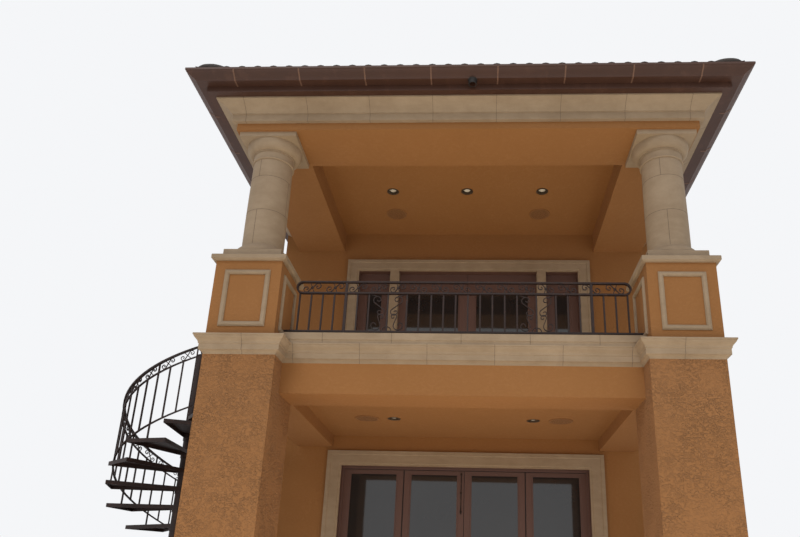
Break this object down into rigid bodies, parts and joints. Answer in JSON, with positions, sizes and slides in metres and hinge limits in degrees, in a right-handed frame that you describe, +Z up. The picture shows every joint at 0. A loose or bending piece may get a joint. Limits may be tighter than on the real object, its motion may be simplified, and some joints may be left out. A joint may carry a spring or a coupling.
{
  "type": "two-storey balcony bay with spiral stair",
  "caption": "Covered balcony on square stucco piers with stone columns, scrolled iron railings, a hip roof, glazed doors below and above, and a spiral iron stair.",
  "frame": {"origin": "on the ground at the middle of the lower doorway, in the plane of the wall's outer face, on the underside of the threshold", "axes": "+X to the right seen from the front, +Y into the house, +Z up"},
  "size_m": [7.9779, 4.019, 7.7151],
  "materials": {
    "stucco": "heavy skip-trowel stucco",
    "stone": "honed cast limestone",
    "concrete": "rough",
    "floor_tile": "matte",
    "bronze_trim": "satin",
    "timber": "sawn",
    "roof_tile": "matte fired clay",
    "joinery": "satin paint",
    "glass": "clear, lightly tinted",
    "door_metal": "oil rubbed",
    "wrought_iron": "matte paint",
    "white_trim": "matte"
  },
  "bodies": {
    "root": {"pier_left": "stucco", "pier_right": "stucco", "lower_front_beam": "stucco", "lower_side_beams": "stucco", "lower_ceiling": "stucco", "balcony_slab": "concrete", "balcony_floor": "floor_tile", "pier_cornices": "stone", "front_cornice": "stone", "side_cornices": "stone", "copings": "stone", "pedestals": "stucco", "pedestal_frames": "stone", "pedestal_caps": "stone", "column_left": "stone", "column_right": "stone", "upper_front_beam": "stucco", "upper_side_beams": "stucco", "upper_ceiling": "stucco", "upper_cornice": "stone", "eave_box": "bronze_trim", "gutter": "bronze_trim", "roof_deck": "timber", "roof_tiles": "roof_tile", "lower_walls": "stucco", "lower_wall_head": "stucco", "upper_walls": "stucco", "upper_wall_head": "stucco", "lower_surround": "stone", "threshold": "stone", "door_frame": "joinery", "fixed_leaves": "joinery", "fixed_glass": "glass", "door_hinges": "door_metal", "upper_surround": "stone", "upper_doors": "joinery", "upper_glass": "glass", "front_railing": "wrought_iron", "right_railing": "wrought_iron", "left_railings": "wrought_iron", "railing_scrolls": "wrought_iron", "stair_pole": "wrought_iron", "stair_treads": "wrought_iron", "stair_landing": "wrought_iron", "stair_railing": "wrought_iron", "stair_scrolls": "wrought_iron", "landing_guard": "wrought_iron", "downlights": "white_trim", "speaker_grilles": "white_trim"},
    "left_door": {"left_leaf": "joinery", "left_glass": "glass", "door_handle": "door_metal", "top_bolt": "door_metal"},
    "right_door": {"right_leaf": "joinery", "right_glass": "glass"}
  },
  "joints": [
    {"name": "left_door_hinge", "type": "hinge", "parent": "root", "child": "left_door", "pos_m": [-0.892, 0.16, 1.2], "axis": [0, 0, 1], "range_deg": [0, 100]},
    {"name": "right_door_hinge", "type": "hinge", "parent": "root", "child": "right_door", "pos_m": [0.892, 0.16, 1.2], "axis": [0, 0, -1], "range_deg": [0, 100]}
  ]
}
